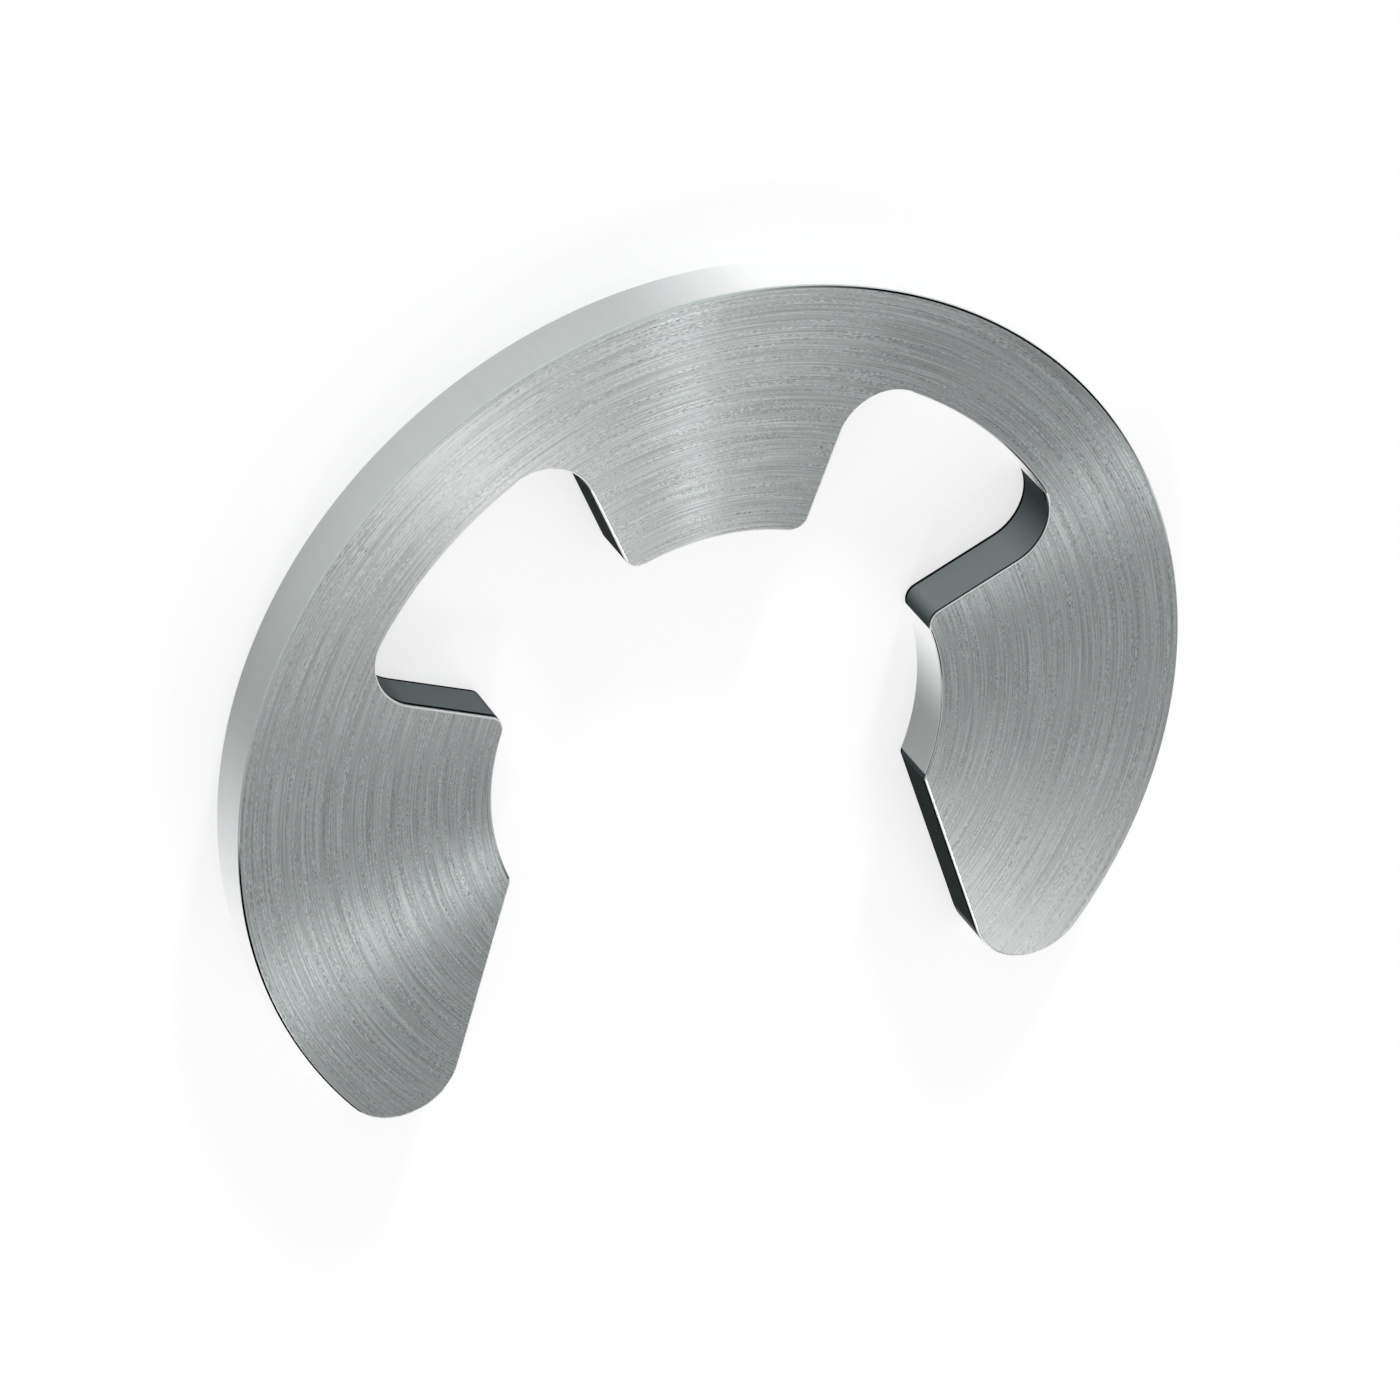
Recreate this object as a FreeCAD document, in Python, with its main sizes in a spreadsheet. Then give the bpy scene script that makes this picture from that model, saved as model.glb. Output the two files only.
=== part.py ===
# A retaining clip shaped like the letter E, stamped from spring-steel strip.
# It lies flat: the axis of the shaft that it grips is +Z, the tooth is on +Y
# and the mouth, where the shaft enters, opens towards -Y. The origin is on
# that axis, in the face that the clip lies on.
import FreeCAD, Part
import Sketcher
import os
from enum import IntEnum
from math import atan2, degrees, hypot, isclose, radians, tan
from FreeCAD import Vector

# Driving sizes, in millimetres and degrees.
SIZES = {
    # Across the rim.
    "outer_diameter": 18.8,
    # Across the tips of the tooth and the two lugs, as the groove of the shaft.
    "grip_diameter": 9.0,
    # Across the bottoms of the two relief slots.
    "relief_diameter": 15.2,
    # Thickness of the strip.
    "strip_thickness": 1.1,
    # Angle between the two sides of the tooth, which point at the axis.
    "tooth_angle": 44.0,
    # Top side of each lug above the X axis, and its bottom corner below it.
    "lug_rise_angle": 22.5,
    "lug_drop_angle": 22.5,
    # Lean of each side of the mouth from the Y axis.
    "mouth_flare": 17.0,
    # Rounds of the wall: the free ends of the arms, the corners at the bottoms of
    # the slots, the corners of the tooth's tip and of the lugs' top, and the
    # corners where the grip turns into the mouth.
    "lobe_round": 1.2,
    "root_round": 1.0,
    "tip_round": 0.3,
    "jaw_round": 0.2,
    # Tumbled edge between a flat face and the wall.
    "edge_round": 0.05,
}

ORIGIN = Vector(0, 0, 0)
UP = Vector(0, 0, 1)

# What a sketch calls its own axes, which start at the origin, and the points of a curve.
AXES = -1
Point = IntEnum("Point", "START END CENTRE")

doc = FreeCAD.newDocument("retaining_clip")
sheet = doc.addObject("Spreadsheet::Sheet", "sizes")
for row, (name, value) in enumerate(SIZES.items(), start=1):
    sheet.set(f"A{row}", name)
    sheet.set(f"B{row}", str(value))
    sheet.setAlias(f"B{row}", name)
doc.recompute()

body = doc.addObject("PartDesign::Body", "e_clip")
body.Label = "e_clip"
body.Placement = FreeCAD.Placement()

grip_radius = sheet.grip_diameter / 2
relief_radius = sheet.relief_diameter / 2
tooth_side_angle = 90 - sheet.tooth_angle / 2


def polar(radius, angle):
    """The point at that radius, at that angle in degrees above the X axis."""
    return FreeCAD.Rotation(UP, angle).multVec(Vector(radius, 0, 0))


def origin_plane(role):
    """The body's own reference plane of that role."""
    return next(f for f in body.Origin.OriginFeatures if f.Role == role)


def new_sketch(name):
    """An empty sketch in the face that the clip lies on."""
    sketch = body.newObject("Sketcher::SketchObject", name)
    sketch.AttachmentSupport = (origin_plane("XY_Plane"), [""])
    sketch.MapMode = "FlatFace"
    return sketch


def constrain(sketch, kind, *arguments):
    """A constraint with no size of its own."""
    return sketch.addConstraint(Sketcher.Constraint(kind, *arguments))


def dimension(sketch, kind, arguments, value, name, formula):
    """A named dimension, drawn at its value and tied to the sheet by its formula."""
    index = constrain(sketch, kind, *arguments, value)
    sketch.renameConstraint(index, name)
    sketch.setExpression(f"Constraints.{name}", formula)


def circle_sketch(name, diameter_name):
    """A circle about the axis, with the diameter of that name."""
    sketch = new_sketch(name)
    diameter = getattr(sheet, diameter_name)
    circle = sketch.addGeometry(Part.Circle(ORIGIN, UP, diameter / 2))
    constrain(sketch, "Coincident", circle, Point.CENTRE, AXES, Point.START)
    dimension(sketch, "Diameter", (circle,), diameter, diameter_name, f"sizes.{diameter_name}")
    return sketch


def punch(name, sketch):
    """Punches a sketch's outline up through the strip, and tests that it cut."""
    before = body.Shape.Volume
    pocket = body.newObject("PartDesign::Pocket", name)
    pocket.Profile = (sketch, [""])
    pocket.Type = "ThroughAll"
    pocket.Reversed = True
    doc.recompute()
    if not pocket.Shape.Volume < before:
        raise RuntimeError(f"{name} cut nothing")
    return pocket


def upright_edges(shape):
    """The wall's edges that run straight up through the strip: each name with its place."""
    for number, edge in enumerate(shape.Edges, start=1):
        if isclose(edge.BoundBox.ZLength, sheet.strip_thickness, rel_tol=1e-6):
            yield f"Edge{number}", edge.CenterOfMass


def corners_at(radius, angle):
    """Names of the wall's two corners at that radius and angle, right and left of the Y axis."""
    return [edge for edge, place in upright_edges(body.Shape)
            if isclose(hypot(place.x, place.y), radius, rel_tol=1e-6)
            and isclose(degrees(atan2(place.y, abs(place.x))), angle, abs_tol=1e-3)]


def round_off(name, edges, size_name):
    """Rounds those edges of the solid made so far to the size of that name."""
    base = body.Tip
    fillet = body.newObject("PartDesign::Fillet", name)
    fillet.Base = (base, edges)
    fillet.setExpression("Radius", f"sizes.{size_name}")
    doc.recompute()


# The blank is a round disc of the strip.
rim_circle = circle_sketch("rim_circle", "outer_diameter")
blank = body.newObject("PartDesign::Pad", "blank")
blank.Profile = (rim_circle, [""])
blank.setExpression("Length", "sizes.strip_thickness")
doc.recompute()

# The hole that grips the shaft.
punch("grip_hole", circle_sketch("grip_circle", "grip_diameter"))

# The relief slots leave the tooth between them and the two lugs below them.
# Each is a slice of the relief circle, from a lug's top side to the tooth's side.
slot_slice = new_sketch("slot_slice")
lug_top = slot_slice.addGeometry(Part.LineSegment(ORIGIN, polar(relief_radius, sheet.lug_rise_angle)))
tooth_side = slot_slice.addGeometry(Part.LineSegment(ORIGIN, polar(relief_radius, tooth_side_angle)))
slot_bottom = slot_slice.addGeometry(Part.ArcOfCircle(
    Part.Circle(ORIGIN, UP, relief_radius), radians(sheet.lug_rise_angle), radians(tooth_side_angle)))
constrain(slot_slice, "Coincident", lug_top, Point.START, AXES, Point.START)
constrain(slot_slice, "Coincident", tooth_side, Point.START, AXES, Point.START)
constrain(slot_slice, "Coincident", slot_bottom, Point.CENTRE, AXES, Point.START)
constrain(slot_slice, "Coincident", lug_top, Point.END, slot_bottom, Point.START)
constrain(slot_slice, "Coincident", tooth_side, Point.END, slot_bottom, Point.END)
dimension(slot_slice, "Diameter", (slot_bottom,), sheet.relief_diameter, "relief", "sizes.relief_diameter")
dimension(slot_slice, "Angle", (lug_top,), radians(sheet.lug_rise_angle), "rise", "sizes.lug_rise_angle")
dimension(slot_slice, "Angle", (tooth_side,), radians(tooth_side_angle), "side", "90 - sizes.tooth_angle / 2")
right_slot = punch("right_slot", slot_slice)

# The mouth widens from the bottom corners of the lugs to well past the rim.
# Its right half runs from the axis to the jaw, and from there along its side.
half_mouth = new_sketch("half_mouth")
jaw = polar(grip_radius, -sheet.lug_drop_angle)
reach = sheet.outer_diameter
far_corner = Vector(jaw.x + (jaw.y + reach) * tan(radians(sheet.mouth_flare)), -reach, 0)
far_middle = Vector(0, -reach, 0)
jaw_arm = half_mouth.addGeometry(Part.LineSegment(ORIGIN, jaw))
mouth_side = half_mouth.addGeometry(Part.LineSegment(jaw, far_corner))
far_side = half_mouth.addGeometry(Part.LineSegment(far_corner, far_middle))
middle_line = half_mouth.addGeometry(Part.LineSegment(far_middle, ORIGIN))
constrain(half_mouth, "Coincident", jaw_arm, Point.START, AXES, Point.START)
constrain(half_mouth, "Coincident", jaw_arm, Point.END, mouth_side, Point.START)
constrain(half_mouth, "Coincident", mouth_side, Point.END, far_side, Point.START)
constrain(half_mouth, "Coincident", far_side, Point.END, middle_line, Point.START)
constrain(half_mouth, "Coincident", middle_line, Point.END, AXES, Point.START)
constrain(half_mouth, "Horizontal", far_side)
constrain(half_mouth, "Vertical", middle_line)
dimension(half_mouth, "Distance", (jaw_arm,), grip_radius, "grip", "sizes.grip_diameter / 2")
dimension(half_mouth, "Angle", (jaw_arm,), radians(-sheet.lug_drop_angle), "drop", "-sizes.lug_drop_angle")
dimension(half_mouth, "Angle", (mouth_side,), radians(sheet.mouth_flare - 90),
          "flare", "sizes.mouth_flare - 90")
dimension(half_mouth, "Distance", (middle_line,), reach, "reach", "sizes.outer_diameter")
right_mouth = punch("right_mouth", half_mouth)

# The left half of the clip is the mirror image of the right half.
left_half = body.newObject("PartDesign::Mirrored", "left_half")
left_half.Originals = [right_slot, right_mouth]
left_half.MirrorPlane = (origin_plane("YZ_Plane"), [""])
body.Tip = left_half
doc.recompute()

# The wall's corners, in the order in which they were named above.
free_ends = [edge for edge, place in upright_edges(body.Shape)
             if place.y < 0 and hypot(place.x, place.y) > relief_radius]
round_off("lobes", free_ends, "lobe_round")
round_off("slot_roots",
          corners_at(relief_radius, sheet.lug_rise_angle) + corners_at(relief_radius, tooth_side_angle),
          "root_round")
round_off("tips",
          corners_at(grip_radius, sheet.lug_rise_angle) + corners_at(grip_radius, tooth_side_angle),
          "tip_round")
round_off("jaws", corners_at(grip_radius, -sheet.lug_drop_angle), "jaw_round")

# Tumbling breaks the edges of both flat faces.
flat_faces = [f"Face{number}" for number, face in enumerate(body.Shape.Faces, start=1)
              if isclose(face.BoundBox.ZLength, 0, abs_tol=1e-6)]
round_off("tumbled_edges", flat_faces, "edge_round")

for item in doc.Objects:
    if "Invalid" in item.State or "Error" in item.State:
        raise RuntimeError(f"{item.Name} failed")
if body.Shape.isNull() or not body.Shape.isValid():
    raise RuntimeError(f"{body.Label} has no sound shape")

os.makedirs("parts", exist_ok=True)
body.Shape.exportStep(f"parts/{body.Label}.step")
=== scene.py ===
from math import acos, asin, cos, degrees, radians, sin

import bpy
import numpy as np
from mathutils import Matrix, Vector


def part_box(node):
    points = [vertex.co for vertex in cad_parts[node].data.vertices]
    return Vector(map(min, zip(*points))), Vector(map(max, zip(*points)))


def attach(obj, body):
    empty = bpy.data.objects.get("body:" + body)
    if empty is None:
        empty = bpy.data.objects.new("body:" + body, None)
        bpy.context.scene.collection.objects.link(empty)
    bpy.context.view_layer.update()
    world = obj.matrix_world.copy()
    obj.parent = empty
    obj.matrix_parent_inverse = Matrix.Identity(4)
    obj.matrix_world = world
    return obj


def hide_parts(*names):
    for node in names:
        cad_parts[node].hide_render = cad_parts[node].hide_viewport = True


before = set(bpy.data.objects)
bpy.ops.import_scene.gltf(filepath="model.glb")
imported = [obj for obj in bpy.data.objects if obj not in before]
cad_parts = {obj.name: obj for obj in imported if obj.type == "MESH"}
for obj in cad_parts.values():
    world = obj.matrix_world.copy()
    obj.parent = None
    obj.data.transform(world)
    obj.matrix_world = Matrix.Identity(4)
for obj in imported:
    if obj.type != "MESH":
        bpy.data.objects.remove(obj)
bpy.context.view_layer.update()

# The clip is one flat piece of hardened spring steel, punched from strip in a single stroke.
# It is tumbled until no edge is sharp and brushed in circles on both flat faces, so those are silvery
# with fine round grooves, while the cut wall that runs all round it is smooth.

MM = 0.001
clip_low, clip_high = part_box("e_clip")
RIM_RADIUS = clip_high.x / MM
STRIP_THICKNESS = (clip_high.z - clip_low.z) / MM
GRIP_RADIUS = 4.5
SLOT_RADIUS = 7.6
TOOTH_HALF_ANGLE = 22.0
LUG_RISE_ANGLE = 22.5
LUG_DROP_ANGLE = 22.5
MOUTH_FLARE = 17.0
TIP_ROUND = 0.3
ROOT_ROUND = 1.0
JAW_ROUND = 0.2
LOBE_ROUND = 1.2
EDGE_ROUND = 0.05

# What follows from them. The side of the mouth passes MOUTH_REACH from the axis. A TURN is the angle at the
# axis between the centre of a round and the line from there that touches it.
TOOTH_SIDE = 90 - TOOTH_HALF_ANGLE
MOUTH_REACH = GRIP_RADIUS * cos(radians(MOUTH_FLARE + LUG_DROP_ANGLE))
TIP_CENTRE = GRIP_RADIUS + TIP_ROUND
TIP_TURN = degrees(asin(TIP_ROUND / TIP_CENTRE))
ROOT_CENTRE = SLOT_RADIUS - ROOT_ROUND
ROOT_TURN = degrees(asin(ROOT_ROUND / ROOT_CENTRE))
JAW_CENTRE = GRIP_RADIUS + JAW_ROUND
JAW_ANGLE = MOUTH_FLARE - degrees(acos((MOUTH_REACH + JAW_ROUND) / JAW_CENTRE))
LOBE_CENTRE = RIM_RADIUS - LOBE_ROUND
LOBE_ANGLE = MOUTH_FLARE - degrees(acos((MOUTH_REACH + LOBE_ROUND) / LOBE_CENTRE))
LOBE_TURN = degrees(asin(LOBE_ROUND / LOBE_CENTRE))

# The finishes, in the order of the clip's materials. Only the brushed face is the steel's own look; the
# others put painted light and shade on the cut wall: a painted reflection on the smooth arcs, painted shade
# on the duller sides, and painted highlights and painted dark lines on the edge rounds.
BRUSHED, PAINTED_REFLECTION_ARC, PAINTED_GREY_SHADE_SIDE, PAINTED_DARK_SHADE_SIDE = range(4)
PAINTED_WHITE_HIGHLIGHT_EDGE, PAINTED_BRIGHT_HIGHLIGHT_EDGE, PAINTED_HIGHLIGHT_TO_SHADE_EDGE, PAINTED_FADING_SHADE_EDGE = range(4, 8)
PAINTED_LOW_DARK_LINE, PAINTED_DARK_LINE_EDGE, PAINTED_LINE_ON_ARC, PAINTED_LINE_LOWER_ON_ARC = range(8, 12)

HOLLOW = -1
BULGING = 1
ARC_STEP = 0.12
WIDEST_TURN = 6.0
FEWEST_POINTS = 3


def stretch(reach, angle, radius, start, end, bulge, finish, lean, straight=PAINTED_GREY_SHADE_SIDE):
    """An arc of the outline: its centre lies at reach and angle from the clip's axis, and its points are the
    centre plus radius times the direction, as the direction goes from start to end. The wall there faces
    along the direction where the metal bulges, and against it where it is hollow. straight is the finish
    of the run from its end to the next arc."""
    for_length = int(abs(radians(end - start)) * radius / ARC_STEP) + 1
    for_turn = int(abs(end - start) / WIDEST_TURN) + 2
    turn = np.radians(np.linspace(start, end, max(FEWEST_POINTS, for_length, for_turn)))
    way = np.stack([np.cos(turn), np.sin(turn)], axis=1)
    centre = reach * np.array([cos(radians(angle)), sin(radians(angle))])
    return {"points": centre + radius * way, "walls": bulge * way, "finish": finish, "lean": lean,
            "straight": straight}


TIP_LEAN = 4.5
ROOT_LEAN = 0.18
SHINE_RUN = 10.0


def right_inner_edge():
    """The inner edge of the right half, from the middle of the tooth down to the end of the lobe: arcs, with
    the straight side of the tooth, the top of the lug and the side of the mouth between them. The finish of
    the slot's bottom runs on for SHINE_RUN degrees of the round at the lug. The last pair of an arc says
    how far the mesh lines, which run out to the rim, lean from the true radius at its start and its end."""
    tooth_tip = TOOTH_SIDE + TIP_TURN
    tooth_root = TOOTH_SIDE - ROOT_TURN
    lug_root = LUG_RISE_ANGLE + ROOT_TURN
    shine_end = lug_root - SHINE_RUN
    lug_tip = LUG_RISE_ANGLE - TIP_TURN
    mouth_side = MOUTH_FLARE + 180
    lobe_end = LOBE_ANGLE - LOBE_TURN + 270
    return [
        stretch(0, 0, GRIP_RADIUS, 90, tooth_tip, HOLLOW, PAINTED_REFLECTION_ARC, (0, TIP_LEAN)),
        stretch(TIP_CENTRE, tooth_tip, TIP_ROUND, tooth_tip + 180, TOOTH_SIDE + 270, BULGING, PAINTED_GREY_SHADE_SIDE,
                (TIP_LEAN, TIP_LEAN), PAINTED_DARK_SHADE_SIDE),
        stretch(ROOT_CENTRE, tooth_root, ROOT_ROUND, TOOTH_SIDE + 90, tooth_root, HOLLOW, PAINTED_GREY_SHADE_SIDE,
                (ROOT_LEAN, 0)),
        stretch(0, 0, SLOT_RADIUS, tooth_root, lug_root, HOLLOW, PAINTED_REFLECTION_ARC, (0, 0)),
        stretch(ROOT_CENTRE, lug_root, ROOT_ROUND, lug_root, shine_end, HOLLOW, PAINTED_REFLECTION_ARC, (0, 0)),
        stretch(ROOT_CENTRE, lug_root, ROOT_ROUND, shine_end, LUG_RISE_ANGLE - 90, HOLLOW, PAINTED_GREY_SHADE_SIDE,
                (0, -ROOT_LEAN)),
        stretch(TIP_CENTRE, lug_tip, TIP_ROUND, LUG_RISE_ANGLE + 90, lug_tip + 180, BULGING, PAINTED_GREY_SHADE_SIDE,
                (-TIP_LEAN, -TIP_LEAN)),
        stretch(0, 0, GRIP_RADIUS, lug_tip, JAW_ANGLE, HOLLOW, PAINTED_REFLECTION_ARC, (-TIP_LEAN, 0)),
        stretch(JAW_CENTRE, JAW_ANGLE, JAW_ROUND, JAW_ANGLE + 180, mouth_side, BULGING, PAINTED_GREY_SHADE_SIDE, (0, 0),
                PAINTED_DARK_SHADE_SIDE),
        stretch(LOBE_CENTRE, LOBE_ANGLE, LOBE_ROUND, mouth_side, lobe_end, BULGING, PAINTED_GREY_SHADE_SIDE, (0, 0)),
    ]


STRAIGHT_STEP = 0.24
TOUCHING = 1e-6


def join_stretches(arcs):
    """The arcs in a row, each tied to the next by a straight run of even steps where their ends lie apart.
    Gives the points, the way their walls face, the finish from each point to the next, and the leans."""
    points, walls, finishes, leans = [], [], [], []
    for arc, following in zip(arcs, arcs[1:] + [None]):
        count = len(arc["points"])
        points.append(arc["points"])
        walls.append(arc["walls"])
        finishes.append(np.full(count, arc["finish"]))
        leans.append(np.linspace(*arc["lean"], count))
        if following is None:
            break
        start = arc["points"][-1]
        end = following["points"][0]
        run = np.hypot(*(end - start))
        if run < TOUCHING:
            for rows in (points, walls, finishes, leans):
                rows[-1] = rows[-1][:-1]
            continue
        steps = int(run / STRAIGHT_STEP) + 2
        along = np.linspace(0, 1, steps + 1)[1:-1, None]
        points.append(start + along * (end - start))
        walls.append(np.repeat(arc["walls"][-1:], steps - 1, axis=0))
        finishes[-1][-1] = arc["straight"]
        finishes.append(np.full(steps - 1, arc["straight"]))
        leans.append((arc["lean"][1] + along * (following["lean"][0] - arc["lean"][1]))[:, 0])
    return [np.concatenate(rows) for rows in (points, walls, finishes, leans)]


def rim_opposite(inner, lean):
    """The point of the outer edge that faces each inner point: on the rim's circle at the same angle plus
    lean, or past the rim's end where that ray leaves the lobe's circle. Its wall faces away from the centre
    of whichever circle it is on."""
    angle = np.arctan2(inner[:, 1], inner[:, 0]) + np.radians(lean)
    ray = np.stack([np.cos(angle), np.sin(angle)], axis=1)
    past = angle < radians(LOBE_ANGLE)
    aside = angle - radians(LOBE_ANGLE)
    depth = np.sqrt(np.maximum(LOBE_ROUND ** 2 - (LOBE_CENTRE * np.sin(aside)) ** 2, 0))
    reach = np.where(past, LOBE_CENTRE * np.cos(aside) + depth, RIM_RADIUS)
    points = ray * reach[:, None]
    lobe = LOBE_CENTRE * np.array([cos(radians(LOBE_ANGLE)), sin(radians(LOBE_ANGLE))])
    walls = np.where(past[:, None], (points - lobe) / LOBE_ROUND, ray)
    return points, walls


def mirror_half(points):
    """The whole edge from its right half: the left half is the same in a mirror, from the left lobe up to
    the middle of the tooth, which the two share."""
    left = points[:0:-1] * np.array([-1.0, 1.0])
    return np.concatenate([left, points])


def once_round(inner, outer):
    """The rows of the whole ring from those of its right half: along the inner edge, then back along the
    outer one, without its two ends, which are the inner edge's own."""
    return np.concatenate([mirror_half(inner), mirror_half(outer)[-2:0:-1]])


def clip_outline():
    """The outline as a closed ring of points, anticlockwise: along the inner edge from the left lobe to the
    right one, then back round the rim. Gives the points, the way their walls face, the finish of the wall
    from each point to the next, and how many of the points are on the inner edge."""
    inner, inner_walls, finishes, leans = join_stretches(right_inner_edge())
    outer, outer_walls = rim_opposite(inner, leans)
    outer[-1] = inner[-1]
    outer_walls[-1] = inner_walls[-1]
    columns = 2 * len(inner) - 1
    rim = np.full(columns - 1, PAINTED_REFLECTION_ARC)
    sides = np.concatenate([finishes[-2::-1], finishes[:-1], rim])
    return once_round(inner, outer), once_round(inner_walls, outer_walls), sides, columns


def falling(walls, azimuth, full, gone):
    """1 where a wall faces within full degrees of the azimuth, smoothly down to 0 at gone degrees from it:
    1 - u u (3 - 2 u), where u is the share of the way from full to gone."""
    straight_on = walls @ np.array([cos(radians(azimuth)), sin(radians(azimuth))])
    away = np.degrees(np.arccos(np.clip(straight_on, -1, 1)))
    share = np.clip((away - full) / (gone - full), 0, 1)
    return 1 - share * share * (3 - 2 * share)


# Where the wall gets its painted reflections and painted dark lines, by the way it faces with the tooth at
# the top. Each is an azimuth, from +X towards +Y, and how far from it the painted shade is full and is gone,
# in degrees.
WHITE_UPPER_RIGHT = (58, 16, 44)
WHITE_LOWER_LEFT = (210, 15, 52)
HOLLOW_WHITE_LOWER_LEFT = (213.5, 16, 44)
SILVER_TOP = (111, 12, 60)
SILVER_SHARE = 0.37
LINE_LOWER_LEFT = (203, 12, 32)
HOLLOW_LINE_LOWER_LEFT = (203, 14, 20)
HOLLOW_LINE_LEAST = 0.2
HOLLOW_LINE_RISE = 0.35
LINE_UPPER_RIGHT = (52, 8, 46)
LINE_UPPER_RIGHT_SHARE = 0.6
LINE_TOP = (120, 10, 55)
LINE_TOP_SHARE = 0.2
RAISED_LINE_UPPER_RIGHT = (52, 38, 40)
LIGHT_TOP = (100, 0, 80)
HIGH_LINE_UPPER_LEFT = (140, 40, 60)
LOW_LINE_BELOW = 0.5


def painted_arc_reflection(walls, hollow):
    """How bright the painted reflection makes the smooth arcs, from 0 for grey to 1 for white, on top of the
    sheet
    that they really mirror: white where they face the upper right or the lower left, with a softer rise
    where they face the top."""
    hollow_white = falling(walls, *HOLLOW_WHITE_LOWER_LEFT)
    lower_left = np.where(hollow, hollow_white, falling(walls, *WHITE_LOWER_LEFT))
    white = falling(walls, *WHITE_UPPER_RIGHT) + lower_left
    return np.minimum(white + SILVER_SHARE * falling(walls, *SILVER_TOP), 1)


def painted_arc_dark_line(walls, hollow):
    """How dark the painted dark line over the smooth arcs is, from 0 for none to 1 for black: darkest where
    the bulging arcs face the lower left, weaker to the upper right and the top. The hollow arcs have a faint
    painted line all along, which is a little darker where they face the lower left."""
    hollow_line = HOLLOW_LINE_LEAST + HOLLOW_LINE_RISE * falling(walls, *HOLLOW_LINE_LOWER_LEFT)
    lower_left = np.where(hollow, hollow_line, falling(walls, *LINE_LOWER_LEFT))
    upper_right = LINE_UPPER_RIGHT_SHARE * falling(walls, *LINE_UPPER_RIGHT)
    return np.minimum(lower_left + (upper_right + LINE_TOP_SHARE * falling(walls, *LINE_TOP)), 1)


def painted_side_shade(walls):
    """How light the painted shade leaves the duller sides and their rounds, from 0 to 1: lightest where the
    wall faces away from the mouth."""
    return falling(walls, *LIGHT_TOP)


def painted_line_height(walls):
    """How high the painted dark line lies on the duller sides, from 0 for low to 1 for close under the edge:
    close on the sides that face the camera, at the upper left."""
    return falling(walls, *HIGH_LINE_UPPER_LEFT)


FACE_ROWS = 6
EDGE_STEPS = 4
UPPER_LINE = 0.09
LOWER_LINE = 0.05
ROUND_TOP, ROUND_HIGH, ROUND_MIDDLE, ROUND_LOW, WALL_TOP = range(EDGE_STEPS + 1)
# For each kind of side, the finishes of the lower three strips of the upper round and of the top of the
# wall: painted highlights and painted dark lines.
EDGE_LINES = {PAINTED_REFLECTION_ARC: (PAINTED_LINE_ON_ARC, PAINTED_LINE_ON_ARC, PAINTED_LINE_LOWER_ON_ARC, PAINTED_REFLECTION_ARC),
              PAINTED_GREY_SHADE_SIDE: (PAINTED_WHITE_HIGHLIGHT_EDGE, PAINTED_HIGHLIGHT_TO_SHADE_EDGE, PAINTED_FADING_SHADE_EDGE, PAINTED_GREY_SHADE_SIDE),
              PAINTED_DARK_SHADE_SIDE: (PAINTED_BRIGHT_HIGHLIGHT_EDGE, PAINTED_BRIGHT_HIGHLIGHT_EDGE, PAINTED_BRIGHT_HIGHLIGHT_EDGE, PAINTED_DARK_LINE_EDGE)}


def wall_profile():
    """The section of the wall, from the upper face to the lower one: a quarter round, straight down with a
    narrow strip at its top and at its foot, and a quarter round. Gives how far inside the outline each of
    its points lies, how high, and how far its surface is tilted up, in radians."""
    quarter = np.radians(np.linspace(90, 0, EDGE_STEPS + 1))
    tilt = np.concatenate([quarter, [0, 0], -quarter[::-1]])
    inset = EDGE_ROUND * (1 - np.cos(tilt))
    upper = STRIP_THICKNESS - EDGE_ROUND * (1 - np.sin(quarter))
    lower = EDGE_ROUND * (1 - np.sin(quarter[::-1]))
    height = np.concatenate([upper, [upper[-1] - UPPER_LINE, lower[0] + LOWER_LINE], lower])
    return inset, height, tilt


def wall_finishes(outline, walls, sides, hollow, strips):
    """The finish of each strip of the wall, from the upper face down. The top of the round is brushed with
    the face. The rest of the round and the top of the wall have their side's painted highlights and painted
    dark lines, and the wall has its side's own painted reflection or painted shade. Its foot and the lower
    round are painted dark, a painted shade, except along the smooth arcs. The painted dark line over the
    arcs lies a strip higher to the upper right, and is a strip thinner where they are hollow. The dark sides
    of the mouth have a painted dark strip at the foot of their round, and the grey sides a painted low dark
    line where their painted dark line is to lie low."""
    arcs = sides == PAINTED_REFLECTION_ARC
    finish = np.repeat(sides[None], strips, axis=0)
    finish[ROUND_TOP] = BRUSHED
    for side, lines in EDGE_LINES.items():
        finish[ROUND_HIGH:WALL_TOP + 1, sides == side] = np.array(lines)[:, None]
    raised_line = arcs & (falling(walls, *RAISED_LINE_UPPER_RIGHT) > 0)
    finish[ROUND_TOP, raised_line] = PAINTED_LINE_ON_ARC
    finish[ROUND_MIDDLE, raised_line] = PAINTED_LINE_LOWER_ON_ARC
    finish[ROUND_MIDDLE, arcs & hollow] = PAINTED_REFLECTION_ARC
    finish[ROUND_LOW, (sides == PAINTED_DARK_SHADE_SIDE) & (outline[:, 1] < 0)] = PAINTED_DARK_LINE_EDGE
    finish[WALL_TOP, (sides == PAINTED_GREY_SHADE_SIDE) & (painted_line_height(walls) < LOW_LINE_BELOW)] = PAINTED_LOW_DARK_LINE
    finish[-EDGE_STEPS - 1:, ~arcs] = PAINTED_DARK_LINE_EDGE
    return finish


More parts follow.
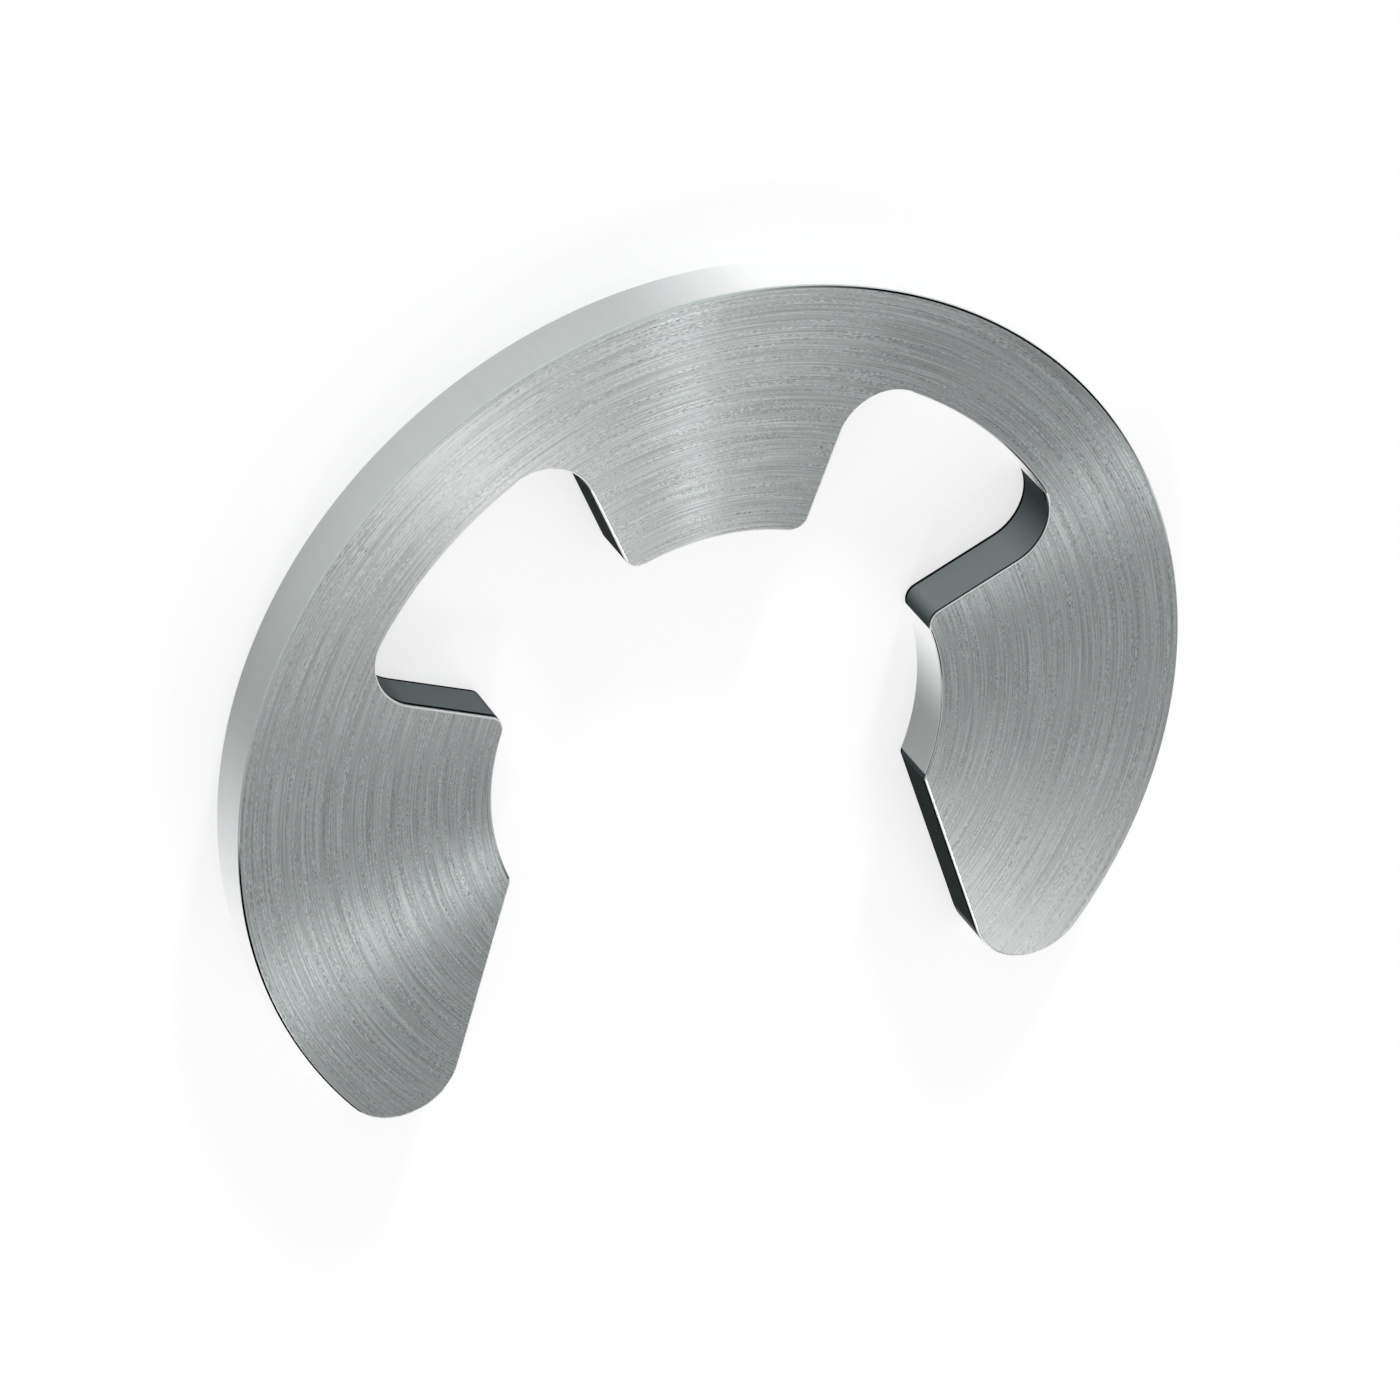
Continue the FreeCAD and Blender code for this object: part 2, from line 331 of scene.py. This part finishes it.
def clip_surface():
    """The closed skin of the clip: the wall's profile carried along the outline, and each flat face a grid
    between the inner edge and the rim, where point = inner + share of the way (rim - inner). The grid's
    first and last columns close to one point at the ends of the lobes. Gives the points, the way each faces,
    the four-sided and the three-sided faces, the finish of the four-sided ones, and the points' painted
    shades, which set the painted reflections, highlights, dark lines and shade of the wall."""
    outline, walls, sides, columns = clip_outline()
    inset, height, tilt = wall_profile()
    hollow = np.sum(outline * walls, axis=1) < 0
    around = len(outline)
    rows = len(tilt)
    flat = outline[None] - inset[:, None, None] * walls[None]
    one_each = flat.shape[:2] + (1,)
    wall_points = np.dstack([flat, np.broadcast_to(height[:, None, None], one_each)])
    wall_ways = np.dstack([walls[None] * np.cos(tilt)[:, None, None],
                           np.broadcast_to(np.sin(tilt)[:, None, None], one_each)])
    here = np.arange(around)
    beside = (here + 1) % around
    above = np.arange(rows - 1)[:, None] * around
    below = above + around
    wall_faces = np.stack([above + here, below + here, below + beside, above + beside], axis=2)
    wall_finish = wall_finishes(outline, walls, sides, hollow, rows - 1)

    points = [wall_points.reshape(-1, 3)]
    ways = [wall_ways.reshape(-1, 3)]
    quads = [wall_faces.reshape(-1, 4)]
    finishes = [wall_finish.reshape(-1)]
    triangles = []
    share = np.linspace(0, 1, FACE_ROWS + 1)[1:-1, None, None]
    across = (-np.arange(columns)) % around
    first_free = rows * around
    for row, up in ((0, 1), (rows - 1, -1)):
        ring = row * around + here
        inner = flat[row][:columns]
        outer = flat[row][across]
        between = (inner + share * (outer - inner))[:, 1:-1]
        made = between.shape[0] * between.shape[1]
        level = np.full(between.shape[:2] + (1,), height[row])
        points.append(np.dstack([between, level]).reshape(-1, 3))
        ways.append(np.tile([0, 0, float(up)], (made, 1)))
        grid = np.empty((FACE_ROWS + 1, columns), int)
        grid[0] = ring[:columns]
        grid[-1] = ring[across]
        grid[:, 0] = ring[0]
        grid[:, -1] = ring[columns - 1]
        grid[1:-1, 1:-1] = first_free + np.arange(made).reshape(between.shape[:2])
        first_free += made
        cells = np.stack([grid[:-1, :-1], grid[:-1, 1:], grid[1:, 1:], grid[1:, :-1]], axis=2)[:, :, ::up]
        quads.append(cells[:, 1:-1].reshape(-1, 4))
        finishes.append(np.full(len(quads[-1]), BRUSHED))
        left_end = np.stack([grid[:-1, 0], grid[:-1, 1], grid[1:, 1]], axis=1)[:, ::up]
        right_end = np.stack([grid[:-1, -2], grid[:-1, -1], grid[1:, -2]], axis=1)[:, ::up]
        triangles += [left_end, right_end]

    shades = [painted_arc_reflection(walls, hollow), painted_arc_dark_line(walls, hollow), painted_side_shade(walls), painted_line_height(walls)]
    shades = np.tile(np.stack(shades, axis=1), (rows, 1))
    shades = np.concatenate([shades, np.zeros((first_free - len(shades), shades.shape[1]))])
    return (np.concatenate(points) * MM, np.concatenate(ways), np.concatenate(quads),
            np.concatenate(triangles), np.concatenate(finishes), shades)


# The names of the painted light and shade kept at each point of the outline.
NAMES_OF_PAINTED_SHADES = ("painted_arc_reflection", "painted_arc_dark_line", "painted_side_shade", "painted_line_height")


def make_clip(name):
    """The clip as one mesh that keeps its own normals and painted shades, and the finish of each of its
    faces.
    """
    points, ways, quads, triangles, finishes, shades = clip_surface()
    mesh = bpy.data.meshes.new(name)
    mesh.from_pydata(points.tolist(), [], quads.tolist() + triangles.tolist())
    mesh.update()
    mesh.shade_smooth()
    mesh.normals_split_custom_set_from_vertices(ways.tolist())
    for column, shade in enumerate(NAMES_OF_PAINTED_SHADES):
        kept = mesh.attributes.new(shade, "FLOAT", "POINT")
        kept.data.foreach_set("value", shades[:, column].astype(np.float32))
    clip = bpy.data.objects.new(name, mesh)
    bpy.context.scene.collection.objects.link(clip)
    return clip, np.concatenate([finishes, np.full(len(triangles), BRUSHED)])


def math_node(tree, operation, *values, clamp=False):
    """operation of its values, each a socket or a number."""
    node = tree.nodes.new("ShaderNodeMath")
    node.operation = operation
    node.use_clamp = clamp
    for socket, value in zip(node.inputs, values):
        if isinstance(value, (int, float)):
            socket.default_value = value
        else:
            tree.links.new(value, socket)
    return node.outputs[0]


def vector_node(tree, operation, first, second=None):
    """operation of two directions, each a socket or three numbers, or of one alone."""
    node = tree.nodes.new("ShaderNodeVectorMath")
    node.operation = operation
    for socket, value in zip(node.inputs, (first, second)):
        if isinstance(value, tuple):
            socket.default_value = value
        elif value is not None:
            tree.links.new(value, socket)
    return node.outputs[0]


def scale_node(tree, colour, factor):
    """A colour made factor times as bright."""
    node = tree.nodes.new("ShaderNodeVectorMath")
    node.operation = "SCALE"
    tree.links.new(colour, node.inputs[0])
    tree.links.new(factor, node.inputs["Scale"])
    return node.outputs[0]


def colour_ramp(tree, place, stops):
    """The colour at place along a row of stops, which are pairs of a place and its colour."""
    node = tree.nodes.new("ShaderNodeValToRGB")
    ramp = node.color_ramp.elements
    for at, colour in stops[1:-1]:
        ramp.new(at)
    for stop, (at, colour) in zip(ramp, stops):
        stop.position = at
        stop.color = (*colour, 1)
    tree.links.new(place, node.inputs["Fac"])
    return node.outputs["Color"]


def new_metal(name):
    """A bare metal surface: the material, its tree, its shader and its Object coordinates."""
    material = bpy.data.materials.new(name)
    material.use_nodes = True
    tree = material.node_tree
    shader = tree.nodes["Principled BSDF"]
    shader.inputs["Metallic"].default_value = 1.0
    place = tree.nodes.new("ShaderNodeTexCoord").outputs["Object"]
    return material, tree, shader, place


def polar_coordinates(tree, place):
    """Distance from the clip's axis in millimetres, and the angle from the tooth in radians, whose seam is
    in the open mouth: distance = sqrt(x x + y y), angle = atan2(x, y)."""
    split = tree.nodes.new("ShaderNodeSeparateXYZ")
    tree.links.new(place, split.inputs[0])
    x = split.outputs["X"]
    y = split.outputs["Y"]
    square = math_node(tree, "ADD", math_node(tree, "MULTIPLY", x, x), math_node(tree, "MULTIPLY", y, y))
    distance = math_node(tree, "MULTIPLY", math_node(tree, "SQRT", square), 1 / MM)
    return distance, math_node(tree, "ARCTAN2", x, y)


STREAK_ROUGHNESS = 0.6


def streaks(tree, distance, angle, across, along, detail, seed):
    """Noise drawn out along the grooves: across is its pitch per millimetre of radius, along per radian."""
    vector = tree.nodes.new("ShaderNodeCombineXYZ")
    tree.links.new(math_node(tree, "MULTIPLY", distance, across), vector.inputs["X"])
    tree.links.new(math_node(tree, "MULTIPLY", angle, along), vector.inputs["Y"])
    vector.inputs["Z"].default_value = seed
    noise = tree.nodes.new("ShaderNodeTexNoise")
    noise.inputs["Scale"].default_value = 1.0
    noise.inputs["Detail"].default_value = detail
    noise.inputs["Roughness"].default_value = STREAK_ROUGHNESS
    tree.links.new(vector.outputs[0], noise.inputs["Vector"])
    return noise.outputs["Fac"]


# Pitches of the streaks across and along, with their detail and seed, and their shares in the brushing.
GROOVES = (36.0, 3.0, 1.0, 3.1)
DASHED_GROOVES = (36.0, 4.0, 0.0, 6.2)
DASHES = (40.0, 120.0, 0.0, 5.3)
BANDS = (7.0, 1.5, 2.0, 8.7)
DASHED_FROM = 0.42
DASHED_GAIN = 6.0
MIDDLE_OF_NOISE = 0.5
PLAIN_SHARE = 0.17
BAND_SHARE = 0.04
DASH_SHARE = 0.42
GROOVE_SHARE = 0.62
DULL_STEEL = (0.345, 0.368, 0.365)
LIGHT_STEEL = (0.76, 0.8, 0.798)
DULL_AT = 0.3
LIGHT_AT = 0.7
FACE_ROUGHNESS = 0.22
LIGHT_ROUGHNESS_RISE = 0.32
FACE_ANISOTROPY = 0.97
FACE_RIM_TINT = 0.3
BRUSH_CENTRE = (0.0, 0.5 * MM, 0.0)


def brushed_steel():
    """The flat faces: grooves in circles about the axis, some of them with rows of short dashes. Lighter
    grooves are also a little rougher. The shine spreads along the lines out of BRUSH_CENTRE, a little
    nearer the tooth than the axis is, and FACE_RIM_TINT below 1 dulls it at a glancing angle."""
    material, tree, shader, place = new_metal("brushed_steel_face")
    distance, angle = polar_coordinates(tree, place)
    grooves = streaks(tree, distance, angle, *GROOVES)
    rows = streaks(tree, distance, angle, *DASHED_GROOVES)
    dashes = streaks(tree, distance, angle, *DASHES)
    bands = streaks(tree, distance, angle, *BANDS)

    dashed_rows = math_node(tree, "SUBTRACT", rows, DASHED_FROM, clamp=True)
    dashed_rows = math_node(tree, "MULTIPLY", dashed_rows, DASHED_GAIN)
    dashed = math_node(tree, "MULTIPLY", math_node(tree, "SUBTRACT", dashes, MIDDLE_OF_NOISE), dashed_rows)
    mix = math_node(tree, "MULTIPLY_ADD", bands, BAND_SHARE, PLAIN_SHARE)
    mix = math_node(tree, "MULTIPLY_ADD", dashed, DASH_SHARE, mix)
    mix = math_node(tree, "MULTIPLY_ADD", grooves, GROOVE_SHARE, mix)
    colour = colour_ramp(tree, mix, [(DULL_AT, DULL_STEEL), (LIGHT_AT, LIGHT_STEEL)])
    roughness = math_node(tree, "MULTIPLY_ADD", mix, LIGHT_ROUGHNESS_RISE, FACE_ROUGHNESS)
    tree.links.new(colour, shader.inputs["Base Color"])
    tree.links.new(roughness, shader.inputs["Roughness"])

    from_centre = vector_node(tree, "SUBTRACT", place, BRUSH_CENTRE)
    radial = vector_node(tree, "NORMALIZE", vector_node(tree, "MULTIPLY", from_centre, (1.0, 1.0, 0.0)))
    shader.inputs["Anisotropic"].default_value = FACE_ANISOTROPY
    shader.inputs["Specular Tint"].default_value = (FACE_RIM_TINT, FACE_RIM_TINT, FACE_RIM_TINT, 1)
    tree.links.new(radial, shader.inputs["Tangent"])
    return material


DRAW_LINE_SCALE = (9000, 9000, 400)
DRAW_LINE_DETAIL = 3.0
DRAW_LINE_SHADE = 0.08
DRAW_LINE_LEAST = 0.96
DRAW_LINE_ROUGHNESS = 0.06


def cut_wall_steel_with_painted_light(name, shade, stops, roughness, rim_tint=1.0):
    """The cut walls: smooth, with faint lines down the wall where the punch drew the metal. Their colour
    follows one of the painted shades kept along the outline, so it carries painted reflections, highlights,
    dark lines and shade: stops are pairs of a shade and its colour. rim_tint below 1 dulls the shine at a
    glancing angle."""
    material, tree, shader, place = new_metal(name)
    kept = tree.nodes.new("ShaderNodeAttribute")
    kept.attribute_name = shade
    colour = colour_ramp(tree, kept.outputs["Fac"], stops)

    draw_lines = tree.nodes.new("ShaderNodeMapping")
    draw_lines.inputs["Scale"].default_value = DRAW_LINE_SCALE
    tree.links.new(place, draw_lines.inputs["Vector"])
    noise = tree.nodes.new("ShaderNodeTexNoise")
    noise.inputs["Scale"].default_value = 1.0
    noise.inputs["Detail"].default_value = DRAW_LINE_DETAIL
    tree.links.new(draw_lines.outputs[0], noise.inputs["Vector"])
    lines = math_node(tree, "MULTIPLY_ADD", noise.outputs["Fac"], DRAW_LINE_SHADE, DRAW_LINE_LEAST)
    tree.links.new(scale_node(tree, colour, lines), shader.inputs["Base Color"])
    rough = math_node(tree, "MULTIPLY_ADD", noise.outputs["Fac"], DRAW_LINE_ROUGHNESS, roughness,
                      clamp=True)
    tree.links.new(rough, shader.inputs["Roughness"])
    shader.inputs["Specular Tint"].default_value = (rim_tint, rim_tint, rim_tint, 1)
    return material


BLACK = (0.01, 0.012, 0.012)
LINE_GREY = (0.025, 0.03, 0.032)
DARK_GREY = (0.05, 0.062, 0.066)
SHADOW_GREY = (0.1, 0.117, 0.118)
SIDE_GREY = (0.215, 0.243, 0.251)
MIDDLE_GREY = (0.25, 0.27, 0.27)
ARC_GREY = (0.3, 0.315, 0.308)
ARC_SILVER = (0.57, 0.6, 0.595)
PALE_GREY = (0.72, 0.755, 0.75)
LIGHT_GREY = (0.84, 0.88, 0.875)
OFF_WHITE = (0.92, 0.93, 0.93)
WHITE = (1, 1, 1)
# The brushed face is the steel's own look. Each cut-wall material after it takes its colour from a painted
# shade: a painted reflection on the smooth arcs, painted shade on the sides, and painted highlights and
# painted dark lines on the edges.
steels = [
    brushed_steel(),
    cut_wall_steel_with_painted_light("painted_reflection_steel_arc", "painted_arc_reflection", [(0, ARC_GREY), (0.4, ARC_SILVER), (1, WHITE)], 0.2),
    cut_wall_steel_with_painted_light("grey_steel_painted_shade_side", "painted_side_shade", [(0, DARK_GREY), (1, SIDE_GREY)], 0.3, rim_tint=0.45),
    cut_wall_steel_with_painted_light("dark_steel_painted_shade_side", "painted_side_shade", [(0, SHADOW_GREY), (1, SIDE_GREY)], 0.45, rim_tint=0.05),
    cut_wall_steel_with_painted_light("white_steel_painted_highlight_edge", "painted_line_height", [(0, WHITE), (1, WHITE)], 0.55),
    cut_wall_steel_with_painted_light("bright_steel_painted_highlight_edge", "painted_line_height", [(0, WHITE), (1, WHITE)], 0.25),
    cut_wall_steel_with_painted_light("turning_steel_painted_highlight_edge", "painted_line_height", [(0, OFF_WHITE), (1, SHADOW_GREY)], 0.3),
    cut_wall_steel_with_painted_light("fading_steel_painted_shade_edge", "painted_line_height", [(0, MIDDLE_GREY), (1, BLACK)], 0.3),
    cut_wall_steel_with_painted_light("low_steel_painted_dark_line", "painted_line_height", [(0, LINE_GREY), (1, LINE_GREY)], 0.3, rim_tint=0.2),
    cut_wall_steel_with_painted_light("dark_steel_painted_shade_edge", "painted_line_height", [(0, BLACK), (1, BLACK)], 0.3, rim_tint=0.1),
    cut_wall_steel_with_painted_light("steel_arc_painted_line_edge", "painted_arc_dark_line",
              [(0, PALE_GREY), (0.2, LIGHT_GREY), (0.5, BLACK)], 1, rim_tint=0.3),
    cut_wall_steel_with_painted_light("steel_arc_painted_line_under_edge", "painted_arc_dark_line",
              [(0, PALE_GREY), (0.2, LIGHT_GREY), (0.45, OFF_WHITE), (0.7, OFF_WHITE), (1, BLACK)], 1,
              rim_tint=0.3),
]
clip, finishes = make_clip("stamped_clip")
for steel in steels:
    clip.data.materials.append(steel)
clip.data.polygons.foreach_set("material_index", finishes.astype(np.int32))
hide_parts("e_clip")
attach(clip, "root")

# The camera looks down on the clip from beyond the tooth and to the left, turned so that the tooth is at
# the top of the picture and the mouth at the bottom. It stands 143 mm away with a long lens, so the far
# side is drawn only a little smaller.

FRAME_PIXELS = 1400
FOCAL_PIXELS = 7793.5
SENSOR_WIDTH = 36.0
NEAREST_DRAWN = 0.005
camera_across = Vector((0.91275, -0.00830, 0.40843))
camera_up = Vector((0.22096, 0.85094, -0.47652))
camera_back = Vector((-0.34350, 0.52518, 0.77859))
camera_spot = Vector((-48.997, 75.484, 111.281)) * MM
lens = bpy.data.cameras.new("camera")
lens.sensor_width = SENSOR_WIDTH
lens.lens = FOCAL_PIXELS * SENSOR_WIDTH / FRAME_PIXELS
lens.clip_start = NEAREST_DRAWN
camera = bpy.data.objects.new("camera", lens)
bpy.context.scene.collection.objects.link(camera)
camera_turn = Matrix((camera_across, camera_up, camera_back)).transposed().to_4x4()
camera.matrix_world = Matrix.Translation(camera_spot) @ camera_turn
bpy.context.scene.camera = camera

# The clip lies on a plain white sheet, which is not part of it. The camera and the polished steel see the
# sheet as a grey that glows, so that it comes out white with a faint shadow, and to all other light it is
# plain white.

FLOOR_HALF = 1.0
SHEET_ROUGHNESS = 0.9
SHEET_WHITE = 0.93
SHEET_SHADED = 0.45
SHEET_GLOW = 0.68

# The mix node's sockets by number, because their names repeat.
MIX_FACTOR = 0
MIX_FIRST_COLOUR = 6
MIX_SECOND_COLOUR = 7
MIX_RESULT_COLOUR = 2

floor_mesh = bpy.data.meshes.new("floor")
floor_corners = [(-FLOOR_HALF, -FLOOR_HALF, 0), (FLOOR_HALF, -FLOOR_HALF, 0),
                 (FLOOR_HALF, FLOOR_HALF, 0), (-FLOOR_HALF, FLOOR_HALF, 0)]
floor_mesh.from_pydata(floor_corners, [], [(0, 1, 2, 3)])
floor = bpy.data.objects.new("floor", floor_mesh)
bpy.context.scene.collection.objects.link(floor)
floor_paint = bpy.data.materials.new("white_sheet")
floor_paint.use_nodes = True
sheet_tree = floor_paint.node_tree
paper = sheet_tree.nodes["Principled BSDF"]
paper.inputs["Roughness"].default_value = SHEET_ROUGHNESS
paper.inputs["Specular IOR Level"].default_value = 0.0
path = sheet_tree.nodes.new("ShaderNodeLightPath")
seen = math_node(sheet_tree, "MAXIMUM", path.outputs["Is Camera Ray"], path.outputs["Is Glossy Ray"])
seen = math_node(sheet_tree, "MAXIMUM", seen, path.outputs["Is Transmission Ray"])
sheet_tone = sheet_tree.nodes.new("ShaderNodeMix")
sheet_tone.data_type = "RGBA"
sheet_tone.inputs[MIX_FIRST_COLOUR].default_value = (SHEET_WHITE, SHEET_WHITE, SHEET_WHITE, 1)
sheet_tone.inputs[MIX_SECOND_COLOUR].default_value = (SHEET_SHADED, SHEET_SHADED, SHEET_SHADED, 1)
sheet_tree.links.new(seen, sheet_tone.inputs[MIX_FACTOR])
sheet_tree.links.new(sheet_tone.outputs[MIX_RESULT_COLOUR], paper.inputs["Base Color"])
paper.inputs["Emission Color"].default_value = (1, 1, 1, 1)
glow = math_node(sheet_tree, "MULTIPLY", seen, SHEET_GLOW)
sheet_tree.links.new(glow, paper.inputs["Emission Strength"])
floor_mesh.materials.append(floor_paint)

# Soft studio light: an even white room, and six round lamps that draw the bright sectors on the brushed
# face. The upright walls mirror the sheet beside the clip, not the lamps.

LAMP_DISTANCE = 0.6


def soft_lamp(name, azimuth, elevation, size, watts, colour):
    """A round lamp that faces the clip from an azimuth, from +X towards +Y, and an elevation, in degrees.
    size is its width in metres."""
    data = bpy.data.lights.new(name, "AREA")
    data.shape = "DISK"
    data.size = size
    data.energy = watts
    data.color = colour
    lamp = bpy.data.objects.new(name, data)
    bpy.context.scene.collection.objects.link(lamp)
    level = cos(radians(elevation))
    way = Vector((level * cos(radians(azimuth)), level * sin(radians(azimuth)), sin(radians(elevation))))
    lamp.location = way * LAMP_DISTANCE
    lamp.rotation_euler = way.to_track_quat("Z", "Y").to_euler()


soft_lamp("far_low", 76, 15, 0.063, 1.46, (0.97, 0.99, 1))
soft_lamp("left_window", 250, 35, 0.09, 0.370, (1, 1, 1))
soft_lamp("right_window", 309, 35, 0.147, 0.045, (1, 1, 1))
soft_lamp("left_panel", 296, 20, 0.299, 0.378, (1, 0.98, 0.975))
soft_lamp("right_panel", 301.5, 20, 0.299, 0.395, (1, 0.93, 0.91))
soft_lamp("overhead", 296, 78, 0.063, 0.160, (1, 0.94, 0.925))

ROOM_TINT = (0.98, 1, 1, 1)
ROOM_LIGHT = 0.46
room = bpy.data.worlds.new("room")
bpy.context.scene.world = room
room.use_nodes = True
background = room.node_tree.nodes["Background"]
background.inputs["Color"].default_value = ROOM_TINT
background.inputs["Strength"].default_value = ROOM_LIGHT

bpy.context.scene.view_settings.view_transform = "Standard"
